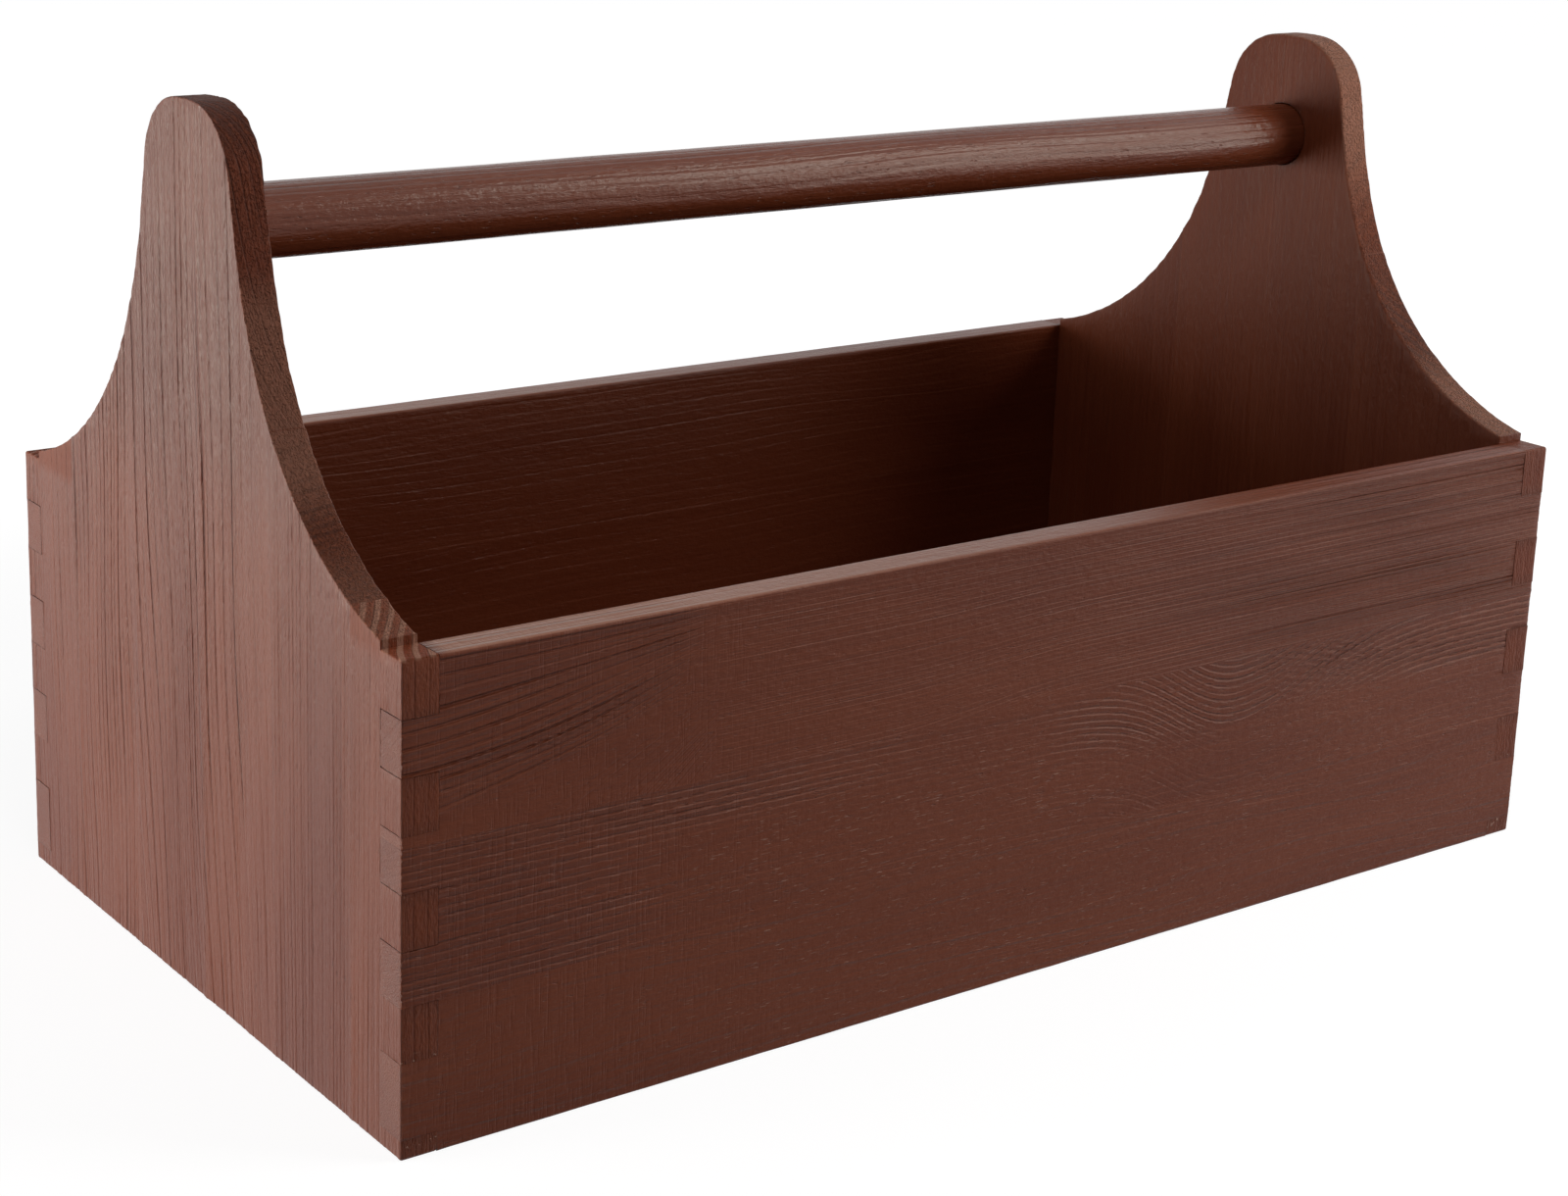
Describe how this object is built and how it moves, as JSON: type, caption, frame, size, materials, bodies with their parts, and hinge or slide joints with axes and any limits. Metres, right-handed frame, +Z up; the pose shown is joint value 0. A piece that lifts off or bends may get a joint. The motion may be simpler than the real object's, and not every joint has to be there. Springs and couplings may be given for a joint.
{
  "type": "wooden tool carrier",
  "caption": "Open wooden toolbox with finger-jointed corners, tall swept ends glued up from upright staves, a recessed bottom panel and a round carrying handle between the ends.",
  "frame": {"origin": "middle of the underside", "axes": "+X along the box towards its right end, +Y towards the back board, +Z up"},
  "size_m": [0.56, 0.305, 0.335],
  "materials": {
    "left_end_paint": "thin brown paint, satin, with the brushed grain showing through",
    "right_end_paint": "thin brown paint, satin, with the brushed grain showing through",
    "front_board_paint": "thin brown paint, satin, with the brushed grain showing through",
    "back_board_paint": "thin brown paint, satin, with the brushed grain showing through",
    "bottom_panel_paint": "thin brown paint, satin, with the brushed grain showing through",
    "handle_paint": "thin brown paint, satin, with the brushed grain showing through"
  },
  "bodies": {
    "root": {"back_board_stave_1": "back_board_paint", "back_board_stave_2": "back_board_paint", "back_board_stave_3": "back_board_paint", "bottom_panel": "bottom_panel_paint", "carrying_handle": "handle_paint", "front_board_stave_1": "front_board_paint", "front_board_stave_2": "front_board_paint", "front_board_stave_3": "front_board_paint", "left_end_stave_1": "left_end_paint", "left_end_stave_2": "left_end_paint", "left_end_stave_3": "left_end_paint", "left_end_stave_4": "left_end_paint", "left_end_stave_5": "left_end_paint", "left_end_stave_6": "left_end_paint", "right_end_stave_1": "right_end_paint", "right_end_stave_2": "right_end_paint", "right_end_stave_3": "right_end_paint", "right_end_stave_4": "right_end_paint", "right_end_stave_5": "right_end_paint", "right_end_stave_6": "right_end_paint"}
  },
  "joints": []
}
